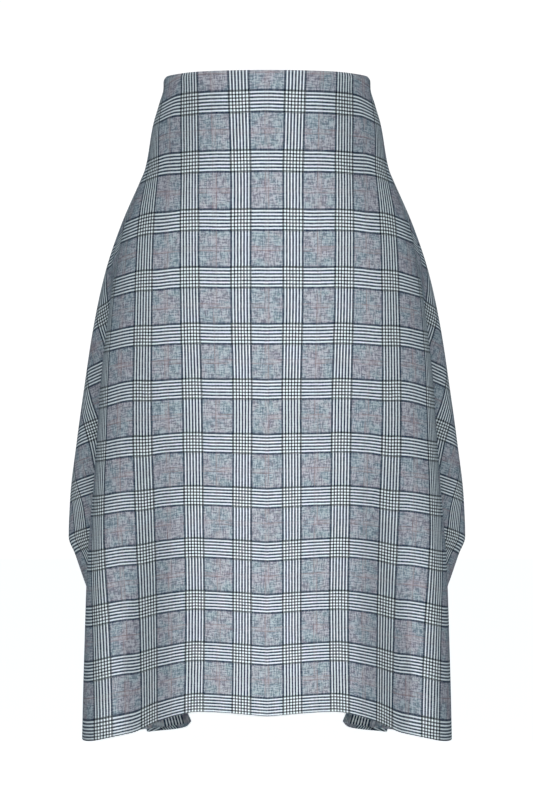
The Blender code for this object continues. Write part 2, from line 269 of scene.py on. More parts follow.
# The overcheck: two thin lines on a light band, in repeats from the middle of the plain ground.
# An edge has the two values between which a mask sets in. OVERCHECK_PATCHES are the patches in a
# repeat along a line and across it, and OVERCHECK_FAINT is its strength between them.
OVERCHECK_HALF_GAP = 0.036
OVERCHECK_BAND_EDGE = (0.0432, 0.0324)
OVERCHECK_LINE_EDGE = (0.016, 0.0064)
OVERCHECK_BAND_STRENGTH = 0.34
OVERCHECK_LINE_STRENGTH = 0.55
OVERCHECK_ON_STRIPES = 0.25
OVERCHECK_PATCHES = (3.0, 12.0)
OVERCHECK_PATCH_EDGE = (-0.12, 0.14)
OVERCHECK_FAINT = 0.20

# Uneven yarn: features in a repeat across and down. Shifts are in repeats. The values that end in
# UNEVEN and FINE are how much uneven yarn and single threads change the ground and the stripes.
WARP_STREAKS = (40, 7)
WEFT_STREAKS = (7, 40)
GRAIN = (36, 36)
GRAIN_SHARE = 0.7
WOBBLE = (26, 26)
WOBBLE_SHIFT = 0.006
WANDER = 5.0
WANDER_SHIFT = 0.008
TINT_PATCHES = 2.6
TINT_EDGE = (0.40, 0.60)
TINT_SHARE = 0.40
GROUND_SHADE = 0.40
GROUND_FINE = 0.20
GROUND_UNEVEN = 3.3
STRIPE_UNEVEN = 0.30
STRIPE_FINE = 0.08

# Colours. The three for a crossing hold where two groups of stripes cross: navy on navy, white on
# white, and how far one white line alone lightens it.
NAVY = (0.028, 0.044, 0.075)
WHITE = (0.865, 0.925, 0.94)
CROSSING_DARK = (0.005, 0.008, 0.016)
CROSSING_LIGHT = (0.92, 0.985, 1.0)
CROSSING_MIDDLE = 0.22
GROUND_DARK = (0.082, 0.106, 0.145)
GROUND_LIGHT = (0.62, 0.65, 0.68)
GROUND_TEAL = (0.265, 0.36, 0.415)
GROUND_MAUVE = (0.385, 0.335, 0.395)
OVERCHECK = (0.24, 0.155, 0.17)
OVERCHECK_LIGHT = (0.52, 0.45, 0.45)
OVERLOCK_DARK = (0.055, 0.065, 0.10)
OVERLOCK_LIGHT = (0.12, 0.14, 0.19)
TAPE_DARK = (0.030, 0.036, 0.060)
TAPE_LIGHT = (0.075, 0.086, 0.125)
COIL_LIGHT = (0.060, 0.070, 0.105)
LACQUER_DARK = (0.050, 0.058, 0.085)
LACQUER_LIGHT = (0.075, 0.088, 0.125)

# Finishes. A relief has its strength and its depth. Noises have their features in a metre.
WOOL_FINISH = {
    "Specular IOR Level": 0.15,
    "Sheen Weight": 0.05,
    "Sheen Roughness": 0.55,
    "Sheen Tint": (0.85, 0.90, 1.0, 1),
}
WOOL_ROUGHNESS = (0.90, 0.78)
WOOL_UNEVEN_RANGE = (-0.4, 0.4)
WOOL_RELIEF = (0.35, 0.00025)
YARN_RELIEF = 1.2
WEAVE_RELIEF = 0.35
TAPE_ROUGHNESS = 0.82
TAPE_RELIEF = (0.5, 0.0001)
TAPE_NOISE = 900.0
THREAD_ROUGHNESS = 0.7
THREAD_NOISE = 1500.0
LACQUER_FINISH = {"Metallic": 0.35, "Coat Weight": 0.4, "Coat Roughness": 0.2}
LACQUER_ROUGHNESS = (0.28, 0.40)
LACQUER_CLOUD_EDGE = (0.35, 0.65)
LACQUER_CLOUD = 420.0
LACQUER_WEAR = 2600.0
LACQUER_RELIEF = (0.15, 0.00005)

# Threads, as tubes of few sides. ASIDE is a direction that none of them runs along.
ASIDE = (0.31, 0.23, 0.92)
OVERLOCK_STEP = 0.0014
OVERLOCK_REACH = 0.0035
THREAD_RADIUS = 0.00022
THREAD_SIDES = 4

# Zip. Its tapes lie behind the folded edges at the centre back, with a coil on each. TAPE_RIBS is
# in radians to the metre.
ZIP_TOP = 0.004
ZIP_LENGTH = 0.190
ZIP_ROWS = 48
TAPE_BEHIND = 0.0027
TAPE_THICKNESS = 0.0005
TAPE_WIDTH = 0.012
TAPE_EDGE = 0.0001
TAPE_COLUMNS = 7
TAPE_RIBS = 9000.0
COIL_PITCH = 0.0015
COIL_ACROSS = 0.0010
COIL_DEEP = 0.0006
COIL_MIDDLE = 0.0012
COIL_TURN_POINTS = 8
COIL_THREAD = 0.00027
COIL_SIDES = 5

# Studio. The floor and the surround look brighter to the camera than they light the cloth.
CAMERA_PLACE = (-0.0006, -4.0, -0.415)
FOCAL_PIXELS = 3163.0
FRAME_HEIGHT_PIXELS = 812.0
SENSOR = 36.0
FLOOR_DROP = 0.50
FLOOR_SIZE = 30.0
FLOOR_COLOUR = (0.80, 0.80, 0.80, 1)
FLOOR_ROUGHNESS = 0.9
FLOOR_GLOW_COLOUR = (1, 1, 1, 1)
FLOOR_GLOW = 0.03
FLOOR_SEEN_GLOW = 0.90
AMBIENT = (0.100, 0.148, 0.178)
SURROUND_SEEN = (1.05, 1.05, 1.05)
KEY_PLACE = (0.0, -4.2, 1.2)
KEY_POWER = 100.0
BACK_PLACE = (0.0, 4.2, 0.6)
BACK_POWER = 80.0
SOFT_SIZE = (1.6, 1.6)
# Two narrow lights at the camera's height, from either side. Each is aimed past the middle.
CROSS_ANGLE = 60.0
CROSS_DISTANCE = 3.5
CROSS_AIM = (0.18, -0.06)
CROSS_SIZE = (0.08, 2.6)
CROSS_SPREAD = 3.4
CROSS_POWER = 0.42


def column(rows, names, name):
    """One named column of a table, as an array."""
    return np.array([row[names.index(name)] for row in rows])


def smooth(x, xs, ys):
    """A smooth line through (xs, ys) that never overshoots them (monotone cubic)."""
    xs = np.asarray(xs, float)
    ys = np.asarray(ys, float)
    steps = np.diff(xs)
    slopes = np.diff(ys) / steps
    tangents = np.zeros(len(xs))
    tangents[0] = slopes[0]
    tangents[-1] = slopes[-1]
    for i in range(1, len(xs) - 1):
        before, after = slopes[i - 1], slopes[i]
        if before * after > 0:
            near = 2 * steps[i] + steps[i - 1]
            far = steps[i] + 2 * steps[i - 1]
            tangents[i] = (near + far) / (near / before + far / after)
    i = np.clip(np.searchsorted(xs, x) - 1, 0, len(xs) - 2)
    t = (np.clip(x, xs[0], xs[-1]) - xs[i]) / steps[i]
    return (
        (1 + 2 * t) * (1 - t) ** 2 * ys[i]
        + t * (1 - t) ** 2 * steps[i] * tangents[i]
        + t * t * (3 - 2 * t) * ys[i + 1]
        - t * t * (1 - t) * steps[i] * tangents[i + 1]
    )


def table(x, rows, names, name):
    """A named column of a table, read smoothly at x of its first column."""
    return smooth(x, column(rows, names, names[0]), column(rows, names, name))


def table_row(x, rows, names):
    """All columns of a table but the first, read smoothly at one x of its first column."""
    return [float(table(x, rows, names, name)) for name in names[1:]]


def ease(t):
    """A soft step from 0 to 1."""
    t = np.clip(t, 0, 1)
    return t * t * (3 - 2 * t)


def hollow(share):
    """From 0 to 1 and back: the front's hollow across its half width, steepest near its middle."""
    rise = np.clip((share - HOLLOW_START) / (HOLLOW_MIDDLE - HOLLOW_START), 0, 1)
    fall = (HOLLOW_END - share) / (HOLLOW_END - HOLLOW_MIDDLE)
    return rise**3 * (4 - 3 * rise) * ease(fall)


def bend(start, end, t):
    """A curve from start to end that leaves and arrives straight back, along +Y."""
    pull = BEND_PULL * (end[1] - start[1])
    handles = ((start[0], start[1] + pull), (end[0], end[1] - pull))
    weights = ((1 - t) ** 3, 3 * t * (1 - t) ** 2, 3 * t * t * (1 - t), t**3)
    corners = (start, *handles, end)
    return sum(w[:, None] * np.array(p) for w, p in zip(weights, corners))


def above_waist(depth):
    """Repeats counted on above the waist's edge, for the cloth that is turned in there."""
    return np.minimum(depth, 0) / BACK_REPEAT


def rows_down(depth):
    """The check's count of repeats down to these depths, at the centre front."""
    return table(depth, CHECK_ROWS, ROW_COLUMNS, "row") + above_waist(depth)


class Section:
    """The outline at one depth, as a line from the centre front round a half to the centre back.

    ends holds the distances at which its stretches start and end: the centre front, the rolled
    edge, the fold's inner turn, the wing's edge and the centre back.
    """

    cache = {}

    def __init__(self, depth):
        s = {}
        for rows, names in ((LEVELS, LEVEL_COLUMNS), (SIDES, SIDE_COLUMNS)):
            s.update(zip(names[1:], table_row(depth, rows, names)))
        self.depth = depth
        t = np.linspace(0, 1, SAMPLES)
        angle = t * math.pi / 2
        across = np.sin(angle) ** (2 / s["square"])
        forward = np.cos(angle) ** (2 / s["square"])
        front_y = s["lip_y"] - (s["lip_y"] + s["front"]) * forward + s["flute"] * hollow(across)
        lip = (s["lip"], s["lip_y"])
        turn = (s["turn"], s["turn_y"])
        wing = (s["wing"], s["wing_y"])
        across_back = np.cos(angle) ** (2 / BACK_SQUARE)
        back_y = s["wing_y"] + (s["back"] - s["wing_y"]) * np.sin(angle) ** (2 / BACK_SQUARE)
        stretches = (
            (np.stack([s["lip"] * across, front_y], 1), across),
            (bend(lip, turn, t), 1 + t),
            (bend(turn, wing, t), 2 + t),
            (np.stack([s["wing"] * across_back, back_y], 1), 3 + t),
        )
        line = np.concatenate([points[1:] for points, stations in stretches])
        line = np.concatenate([stretches[0][0][:1], line])
        stations = np.concatenate([[0.0]] + [stations[1:] for points, stations in stretches])
        gaps = np.linalg.norm(np.diff(line, axis=0), axis=1)
        self.run = np.concatenate([[0], np.cumsum(gaps)])
        self.line = np.concatenate([line, stations[:, None]], 1)
        self.ends = self.run[:: SAMPLES - 1]

    @classmethod
    def at(cls, depth):
        key = round(depth, 7)
        if key not in cls.cache:
            cls.cache[key] = cls(depth)
        return cls.cache[key]

    def points(self, distance):
        """Points and stations at these distances from the centre front, either way round."""
        far = np.abs(distance)
        x, y, station = (np.interp(far, self.run, values) for values in self.line.T)
        hem = table(station, HEM, HEM_COLUMNS, "depth")
        roll = WAIST_ROLL * max(0, 1 - self.depth / WAIST_ROLL_DEPTH) ** 2
        x = x - roll * ease((x - WAIST_ROLL_START) / (WAIST_ROLL_END - WAIST_ROLL_START))
        return np.stack([np.sign(distance) * x, y, -self.depth * hem / LENGTH], 1), station

    def check(self, distance, row_depth):
        """The check's two counts at these distances, for cloth that was cut at row_depth."""
        far = np.abs(distance)
        lip, wing = self.ends[LIP], self.ends[WING]
        groups = table_row(row_depth, GROUPS, GROUP_COLUMNS)
        beyond = groups[-1] + SIDE_REPEAT * (GROUP_COUNTS[-1] - GROUP_COUNTS[-2])
        groups = (-groups[0], *groups, beyond)
        falls = table_row(row_depth, FALLS, FALL_COLUMNS)
        station = np.interp(far, self.run, self.line[:, 2])
        depth = row_depth - smooth(station, FALL_STATIONS, (falls[0], 0.0, *falls))
        front = np.stack([smooth(far, groups, GROUP_COUNTS), rows_down(depth)], 1)

        edge_u, edge_v, slope = table_row(row_depth, WING_EDGE, EDGE_COLUMNS)
        edge_v += above_waist(row_depth)
        loose, full = WING_LOOSE
        fall = WING_FALL * ease((row_depth - loose) / (full - loose))
        shown = min(WING_SHOWN, WING_SHOWN_SHARE * (wing - lip))
        knots = (lip, wing - shown, wing)
        lip_u = smooth(lip, groups, GROUP_COUNTS)
        lip_v = rows_down(row_depth - falls[-1])
        side_u = smooth(far, knots, (lip_u, edge_u - slope * shown, edge_u))
        side_v = smooth(far, knots, (lip_v, edge_v + fall * shown, edge_v))
        past = np.clip(far - wing, 0, None)
        side = np.stack([side_u + past * slope, side_v - past * fall], 1)
        found = np.where((far <= lip)[:, None], front, side)
        found[:, 0] *= np.sign(distance)
        return found

    def back_check(self, distance, row_depth):
        far = self.ends[CENTRE_BACK] - np.abs(distance)
        row = rows_down(row_depth) + BACK_ROW_SHIFT
        return np.stack([-np.sign(distance) * far / BACK_REPEAT, np.full(len(far), row)], 1)


def turned(edge, towards, allowance):
    """How cloth turns in at an edge and lies flat behind itself.

    Each step is (place, inward, ahead, cut): where the cloth lies behind, how far inside the face,
    how far past that place towards the edge, and where on the flat cloth it was cut.
    """
    start = edge - towards * FOLD_RADIUS
    steps = []
    for angle in np.linspace(0, math.pi, FOLD_STEPS + 1)[1:]:
        inward = FOLD_RADIUS * (1 - math.cos(angle))
        ahead = towards * FOLD_RADIUS * math.sin(angle)
        steps.append((start, inward, ahead, start + towards * FOLD_RADIUS * angle))
    flat = start + towards * FOLD_RADIUS * math.pi
    for reach in np.linspace(0, allowance, ALLOWANCE_STEPS + 1)[1:]:
        steps.append((start - towards * reach, 2 * FOLD_RADIUS, 0, flat + towards * reach))
    return steps


def row_plan():
    """All rows of a panel from the waist allowance's edge to the hem allowance's."""
    top = np.linspace(FOLD_RADIUS, WAIST_ROWS_DEPTH, WAIST_ROWS + 1)[:-1]
    rest = np.linspace(WAIST_ROWS_DEPTH, LENGTH - FOLD_RADIUS, ROWS)
    middle = [(d, 0, 0, d) for d in (*top, *rest)]
    return turned(0, -1, WAIST_ALLOWANCE)[::-1] + middle + turned(LENGTH, 1, HEM_ALLOWANCE)


def turned_columns(end, edge, towards):
    """The columns of a seam allowance, at this distance from one of a section's ends."""
    return [(end, end, 0, place, inward, ahead, cut - place)
            for place, inward, ahead, cut in turned(edge, towards, SEAM_ALLOWANCE)]


def front_columns():
    """Columns of the front's half at +X: (from, to, share, extra, inward, ahead, cut extra)."""
    steps = np.linspace(0, 1, FRONT_COLUMNS + 1)[:-1]
    plan = [(CENTRE_FRONT, LIP, share, 0, 0, 0, 0) for share in 1 - (1 - steps) ** FRONT_CROWDING]
    for start, count in ((LIP, RETURN_COLUMNS), (TURN, WING_COLUMNS)):
        shares = np.linspace(0, 1, count + 1)[:-1]
        plan += [(start, start + 1, share, 0, 0, 0, 0) for share in shares]
    edge = SEAM_BEHIND_WING - SEAM_GAP / 2
    for extra in np.linspace(0, edge - FOLD_RADIUS, SEAM_COLUMNS):
        plan.append((WING, WING, 0, extra, 0, 0, 0))
    return plan + turned_columns(WING, edge, 1)


def back_columns():
    """Columns of a back panel at +X, from the side seam's allowance to the centre back's."""
    start = SEAM_BEHIND_WING + SEAM_GAP / 2
    end = -SEAM_GAP / 2
    plan = turned_columns(WING, start, -1)[::-1]
    for share in np.linspace(0, 1, BACK_COLUMNS + 1):
        extra = (1 - share) * (start + FOLD_RADIUS) + share * (end - FOLD_RADIUS)
        plan.append((WING, CENTRE_BACK, share, extra, 0, 0, 0))
    return plan + turned_columns(CENTRE_BACK, end, 1)


def on_side(side, plan):
    """A plan's columns at +X or, in the same direction round the skirt, their image at -X."""
    return [(side, step) for step in plan[::side]]


def crease(side, station, depth):
    """How far the creases lift each point out of the section's own face."""
    lift = np.zeros(len(station))
    for row in CREASES:
        c = dict(zip(CREASE_COLUMNS, row))
        t = (depth - c["start"]) / (c["end"] - c["start"])
        if t <= 0:
            continue
        centre = c["station"] + c["lean"] * t
        shape = np.exp(-(((station - centre) / c["width"]) ** 2))
        lift += (side == c["side"]) * c["height"] * float(ease(t * CREASE_RISE)) * shape
    return lift


def distances(section, plan):
    """Distances round the section of a plan's columns."""
    found = []
    for side, (start, end, share, extra, *rest) in plan:
        ends = section.ends
        found.append(side * ((1 - share) * ends[start] + share * ends[end] + extra))
    return np.array(found)


def surface(depth, plan):
    """Points, outward normals and down and across directions of the face at one depth."""

    def read(at, shift=0.0):
        section = Section.at(at)
        distance = distances(section, plan) + shift
        points, station = section.points(distance)
        return points, station, distance

    points, station, distance = read(depth)
    low, high = max(depth - SURFACE_STEP, 0), min(depth + SURFACE_STEP, LENGTH)
    down = read(high)[0] - read(low)[0]
    across = read(depth, SURFACE_STEP)[0] - read(depth, -SURFACE_STEP)[0]
    down /= np.linalg.norm(down, axis=1, keepdims=True)
    across /= np.linalg.norm(across, axis=1, keepdims=True)
    out = np.cross(down, across)
    out /= np.linalg.norm(out, axis=1, keepdims=True)
    lift = crease(np.sign(distance), station, depth)
    return points + out * lift[:, None], out, down, across


def panel(plan, back):
    """Grid of points and check counts for a panel of cloth with all its edges turned in."""
    side = np.array([s for s, step in plan])
    inward_c, ahead_c, cut_c = np.array([step[4:] for s, step in plan]).T
    ahead_c, cut_c = side * ahead_c, side * cut_c
    points, counts = [], []
    for depth, inward, ahead, cut in row_plan():
        face, out, down, across = surface(depth, plan)
        face = face - out * (inward + inward_c)[:, None] + down * ahead + across * ahead_c[:, None]
        section = Section.at(depth)
        distance = distances(section, plan) + cut_c
        points.append(face)
        counts.append((section.back_check if back else section.check)(distance, cut))
    return np.array(points), np.array(counts)


def grid_object(name, points, counts, thickness):
    """An open sheet through a grid of points, thickened inwards."""
    rows, columns = points.shape[:2]
    i, j = np.meshgrid(np.arange(rows - 1), np.arange(columns - 1), indexing="ij")
    first = (i * columns + j).ravel()
    faces = np.stack([first, first + columns, first + columns + 1, first + 1], 1)
    mesh = bpy.data.meshes.new(name)
    mesh.from_pydata(points.reshape(-1, 3).tolist(), [], faces.tolist())
    mesh.shade_smooth()
    cloth = mesh.attributes.new("cloth", "FLOAT_VECTOR", "POINT")
    flat = np.zeros((rows * columns, 3), np.float32)
    flat[:, :2] = counts.reshape(-1, 2)
    cloth.data.foreach_set("vector", flat.ravel())
    corner = faces.ravel()
    uv = np.stack([(corner % columns) / (columns - 1), 1 - (corner // columns) / (rows - 1)], 1)
    mesh.uv_layers.new(name="OFBake").data.foreach_set("uv", uv.astype(np.float32).ravel())
    made = bpy.data.objects.new(name, mesh)
    bpy.context.scene.collection.objects.link(made)
    wall = made.modifiers.new("wall", "SOLIDIFY")
    wall.thickness = thickness
    wall.offset = -1
    return made


class Nodes:
    """The node tree of a material or a world, written as formulas."""

    def __init__(self, owner, shader="Principled BSDF"):
        owner.use_nodes = True
        self.owner = owner
        self.tree = owner.node_tree
        self.shader = self.tree.nodes[shader]

    def new(self, kind, **settings):
        node = self.tree.nodes.new(kind)
        for name, value in settings.items():
            setattr(node, name, value)
        return node

    def feed(self, socket, value):
        if isinstance(value, bpy.types.NodeSocket):
            self.tree.links.new(value, socket)
        else:
            socket.default_value = value

    def finish(self, values):
        """Feed the shader's own sockets."""
        for name, value in values.items():
            self.feed(self.shader.inputs[name], value)

    def cloth(self):
        """The counts that a sheet's points carry, as a vector and one by one."""
        counts = self.new("ShaderNodeAttribute", attribute_name="cloth").outputs["Vector"]
        split = self.new("ShaderNodeSeparateXYZ")
        self.feed(split.inputs[0], counts)
        return counts, split.outputs[0], split.outputs[1]

    def math(self, operation, *values):
        node = self.new("ShaderNodeMath", operation=operation)
        for socket, value in zip(node.inputs, values):
            self.feed(socket, value)
        return node.outputs[0]

    def ramp(self, value, low, high, to_low=0.0, to_high=1.0):
        """A soft step of value between low and high."""
        node = self.new("ShaderNodeMapRange", interpolation_type="SMOOTHSTEP")
        for socket, given in zip(node.inputs, (value, low, high, to_low, to_high)):
            self.feed(socket, given)
        return node.outputs[0]

    def mix(self, share, first, second):
        """first where share is 0 and second where it is 1, for numbers or colours."""
        colours = not all(self.is_number(value) for value in (first, second))
        node = self.new("ShaderNodeMix", data_type="RGBA" if colours else "FLOAT")
        sockets = (6, 7) if colours else (2, 3)
        self.feed(node.inputs[0], share)
        for index, value in zip(sockets, (first, second)):
            self.feed(node.inputs[index], (*value, 1) if isinstance(value, tuple) else value)
        return node.outputs[2 if colours else 0]

    @staticmethod
    def is_number(value):
        if isinstance(value, bpy.types.NodeSocket):
            return value.type == "VALUE"
        return isinstance(value, (int, float))

    def noise(self, vector, scale, detail=2.0, roughness=0.5):
        node = self.new("ShaderNodeTexNoise")
        self.feed(node.inputs["Vector"], vector)
        node.inputs["Scale"].default_value = scale
        node.inputs["Detail"].default_value = detail
        node.inputs["Roughness"].default_value = roughness
        return node.outputs["Fac"]

    def streaks(self, u, v, across, down):
        """Uneven yarn: soft noise round 0, with this many features in a repeat each way."""
        vector = self.new("ShaderNodeCombineXYZ")
        self.feed(vector.inputs[0], self.math("MULTIPLY", u, across))
        self.feed(vector.inputs[1], self.math("MULTIPLY", v, down))
        return self.math("SUBTRACT", self.noise(vector.outputs[0], 1.0), 0.5)

    def bump(self, height, strength, distance):
        node = self.new("ShaderNodeBump")
        node.inputs["Strength"].default_value = strength
        node.inputs["Distance"].default_value = distance
        self.feed(node.inputs["Height"], height)
        self.feed(self.shader.inputs["Normal"], node.outputs[0])


def material(name):
    """A new material's node tree."""
    return Nodes(bpy.data.materials.new(name))


def stripes(n, count, direction):
    """The masks of one direction of the check, for a count of repeats along it."""
    pitches = direction["pitches"]
    half_group = (WHITE_LINES + 0.5) / pitches / 2
    in_repeat = n.math("FRACT", n.math("ADD", count, 0.5 - direction["middle"]))
    offset = n.math("SUBTRACT", in_repeat, 0.5)
    size = n.math("ABSOLUTE", offset)
    inside = n.math("LESS_THAN", size, half_group)
    pitch = n.math("FRACT", n.math("MULTIPLY", n.math("ADD", offset, half_group), pitches))
    from_middle = n.math("ABSOLUTE", n.math("SUBTRACT", pitch, WHITE_PLACE))
    white, wide = (
        n.math("MULTIPLY", n.ramp(from_middle, half + LINE_SOFTNESS, half - LINE_SOFTNESS), inside)
        for half in (direction["white"], direction["white"] + CROSSING_EXTRA)
    )
    border = half_group + BORDER_EXTRA / pitches
    softness = BORDER_SOFTNESS / pitches
    from_over = n.math("SUBTRACT", 0.5, size)
    from_line = n.math("ABSOLUTE", n.math("SUBTRACT", from_over, OVERCHECK_HALF_GAP))
    threads_in_repeat = THREADS_IN_PITCH * pitches
    shifted = n.math("ADD", count, COUNT_SHIFT)
    thread = n.math("FLOOR", n.math("MULTIPLY", shifted, threads_in_repeat))
    return {
        "group": n.ramp(size, border + softness, border - softness),
        "white": white,
        "wide": wide,
        "overcheck": n.ramp(from_line, *OVERCHECK_LINE_EDGE),
        "overcheck_band": n.ramp(from_over, *OVERCHECK_BAND_EDGE),
        "thread": thread,
        "fine": n.math("LESS_THAN", n.math("MODULO", thread, TWILL), TWILL / 2),
        "wave": n.math("SINE", n.math("MULTIPLY", count, threads_in_repeat * math.tau)),
    }


def check_material():
    """Wool suiting in a glen check: groups of white and navy stripes over a fine mixed ground."""
    n = material("checked_wool")
    cloth, raw_u, raw_v = n.cloth()
    wander = n.math("SUBTRACT", n.noise(cloth, WANDER), 0.5)
    wobble = n.streaks(raw_u, raw_v, *WOBBLE)
    shifted_u = n.math("MULTIPLY_ADD", wander, WANDER_SHIFT, raw_u)
    shifted_v = n.math("MULTIPLY_ADD", wander, -WANDER_SHIFT, raw_v)
    across = stripes(n, n.math("MULTIPLY_ADD", wobble, WOBBLE_SHIFT, shifted_u), WARP)
    down = stripes(n, n.math("MULTIPLY_ADD", wobble, -WOBBLE_SHIFT, shifted_v), WEFT)
    weave = n.math("MODULO", n.math("ADD", across["thread"], down["thread"]), TWILL)
    warp_on_top = n.math("LESS_THAN", weave, TWILL / 2)

    hatch = n.math("ADD", n.streaks(raw_u, raw_v, *WARP_STREAKS),
                   n.streaks(raw_u, raw_v, *WEFT_STREAKS))
    uneven = n.math("MULTIPLY_ADD", n.streaks(raw_u, raw_v, *GRAIN), GRAIN_SHARE, hatch)
    fine = n.mix(warp_on_top, down["fine"], across["fine"])
    shade = n.math("MULTIPLY_ADD", fine, GROUND_FINE, GROUND_SHADE)
    shade = n.math("MULTIPLY_ADD", uneven, GROUND_UNEVEN, shade)
    patches = n.noise(cloth, TINT_PATCHES, 3.0, 0.6)
    tint = n.mix(n.ramp(patches, *TINT_EDGE), GROUND_TEAL, GROUND_MAUVE)
    ground = n.mix(TINT_SHARE, n.mix(shade, GROUND_DARK, GROUND_LIGHT), tint)

    # Where two groups cross, white on white is lightest, navy on navy darkest, the rest between.
    upright = n.mix(STRIPE_FINE, across["white"], down["fine"])
    level_lines = n.mix(STRIPE_FINE, down["white"], across["fine"])
    both = n.math("MULTIPLY", across["wide"], down["wide"])
    neither = n.math("MULTIPLY", n.math("SUBTRACT", 1.0, across["wide"]),
                     n.math("SUBTRACT", 1.0, down["wide"]))
    one = n.math("SUBTRACT", n.math("SUBTRACT", 1.0, both), neither)
    dots = n.math("MULTIPLY_ADD", one, CROSSING_MIDDLE, both)
    crossing = n.math("MULTIPLY", across["group"], down["group"])
    line = n.mix(crossing, n.mix(across["group"], level_lines, upright), dots)
    line = n.math("MULTIPLY_ADD", uneven, STRIPE_UNEVEN, line)
    dark = n.mix(crossing, NAVY, CROSSING_DARK)
    light = n.mix(crossing, WHITE, CROSSING_LIGHT)
    in_group = n.math("MAXIMUM", across["group"], down["group"])
    colour = n.mix(in_group, ground, n.mix(line, dark, light))

    few, many = OVERCHECK_PATCHES
    for own, other, patches in ((across, down, (many, few)), (down, across, (few, many))):
        patchy = n.streaks(raw_u, raw_v, *patches)
        shown = n.ramp(patchy, *OVERCHECK_PATCH_EDGE, OVERCHECK_FAINT, 1.0)
        strength = n.math("MULTIPLY", shown, n.mix(other["group"], 1.0, OVERCHECK_ON_STRIPES))
        for mask, share, paint in (
            ("overcheck_band", OVERCHECK_BAND_STRENGTH, OVERCHECK_LIGHT),
            ("overcheck", OVERCHECK_LINE_STRENGTH, OVERCHECK),
        ):
            amount = n.math("MULTIPLY", n.math("MULTIPLY", own[mask], strength), share)
            colour = n.mix(amount, colour, paint)

    roughness = n.ramp(uneven, *WOOL_UNEVEN_RANGE, *WOOL_ROUGHNESS)
    n.finish({"Base Color": colour, "Roughness": roughness, **WOOL_FINISH})
    wave = n.mix(warp_on_top, down["wave"], across["wave"])
    relief = n.math("MULTIPLY", wave, WEAVE_RELIEF)
    n.bump(n.math("MULTIPLY_ADD", uneven, YARN_RELIEF, relief), *WOOL_RELIEF)
    return n.owner


def tape_material():
    """Woven navy tape with fine ribs."""
    n = material("woven_tape")
    cloth, across, down = n.cloth()
    ribs = [n.math("SINE", n.math("MULTIPLY", n.math(way, across, down), TAPE_RIBS))
            for way in ("ADD", "SUBTRACT")]
    colour = n.mix(n.noise(cloth, TAPE_NOISE), TAPE_DARK, TAPE_LIGHT)
    n.finish({"Base Color": colour, "Roughness": TAPE_ROUGHNESS})
    n.bump(n.math("MULTIPLY", *ribs), *TAPE_RELIEF)
    return n.owner


def thread_material(name, dark, light):
    """Spun thread, a little uneven."""
    n = material(name)
    position = n.new("ShaderNodeNewGeometry").outputs["Position"]
    colour = n.mix(n.noise(position, THREAD_NOISE), dark, light)
    n.finish({"Base Color": colour, "Roughness": THREAD_ROUGHNESS})
    return n.owner


def lacquer_material():
    """Navy lacquered metal, satin, with fine wear."""
    n = material("lacquered_metal")
    position = n.new("ShaderNodeNewGeometry").outputs["Position"]
    cloud = n.noise(position, LACQUER_CLOUD, 3.0)
    colour = n.mix(cloud, LACQUER_DARK, LACQUER_LIGHT)
    roughness = n.ramp(cloud, *LACQUER_CLOUD_EDGE, *LACQUER_ROUGHNESS)
    n.finish({"Base Color": colour, "Roughness": roughness, **LACQUER_FINISH})
    n.bump(n.noise(position, LACQUER_WEAR), *LACQUER_RELIEF)
    return n.owner


def read_line(line, run, at):
    """The points of a line at these places of its run."""
    return np.stack([np.interp(at, run, values) for values in line.T], 1)


def tube(path, radius, sides):
    """A thread along a path of points: the points and faces of an open tube."""
    along = np.gradient(path, axis=0)
    along /= np.linalg.norm(along, axis=1, keepdims=True)
    first = np.cross(along, ASIDE)
    first /= np.linalg.norm(first, axis=1, keepdims=True)
    second = np.cross(along, first)
    rings = []
    for angle in np.arange(sides) / sides * math.tau:
        rings.append(path + radius * (math.cos(angle) * first + math.sin(angle) * second))
    points = np.stack(rings, 1).reshape(-1, 3)
    i, j = np.meshgrid(np.arange(len(path) - 1), np.arange(sides), indexing="ij")
    here, beside = (i * sides + j).ravel(), (i * sides + (j + 1) % sides).ravel()
    return points, np.stack([here, beside, beside + sides, here + sides], 1)


def threads(name, paths, radius, sides, thread):
    """One object of many threads."""
    points, faces, count = [], [], 0
    for path in paths:
        ring_points, ring_faces = tube(path, radius, sides)
        points.append(ring_points)
        faces.append(ring_faces + count)
        count += len(ring_points)
    mesh = bpy.data.meshes.new(name)
    mesh.from_pydata(np.concatenate(points).tolist(), [], np.concatenate(faces).tolist())
    mesh.shade_smooth()
    mesh.materials.append(thread)
    made = bpy.data.objects.new(name, mesh)
    bpy.context.scene.collection.objects.link(made)
    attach(made, "skirt")
    return made


def overlock_path(edge, inner, inward):
    """A thread that goes to and fro between a cut edge and a line inside it."""
    gaps = np.linalg.norm(np.diff(edge, axis=0), axis=1)
    run = np.concatenate([[0], np.cumsum(gaps)])
    steps = np.arange(0, run[-1], OVERLOCK_STEP)
    edge, inner, inward = (read_line(line, run, steps) for line in (edge, inner, inward))
    reach = inner - edge
    reach /= np.linalg.norm(reach, axis=1, keepdims=True)
    share = (np.arange(len(steps)) % 2)[:, None]
    return edge + reach * OVERLOCK_REACH * share + inward * (CLOTH + THREAD_RADIUS)


def overlock(name, grid, thread):
    """Overlock stitches round a panel's cut edges, on the side that shows inside the skirt."""
    paths = []
    sideways = grid.transpose(1, 0, 2)
    for lines in (grid, grid[:, ::-1], sideways, sideways[:, ::-1]):
        edge, inner = lines[:, 0], lines[:, 1]
        inward = np.cross(np.gradient(edge, axis=0), inner - edge)
        inward /= np.linalg.norm(inward, axis=1, keepdims=True)
        to_axis = -edge * (1, 1, 0)
        inward *= np.sign((inward * to_axis).sum(1, keepdims=True))
        paths.append(overlock_path(edge, inner, inward))
    return threads(name, paths, THREAD_RADIUS, THREAD_SIDES, thread)


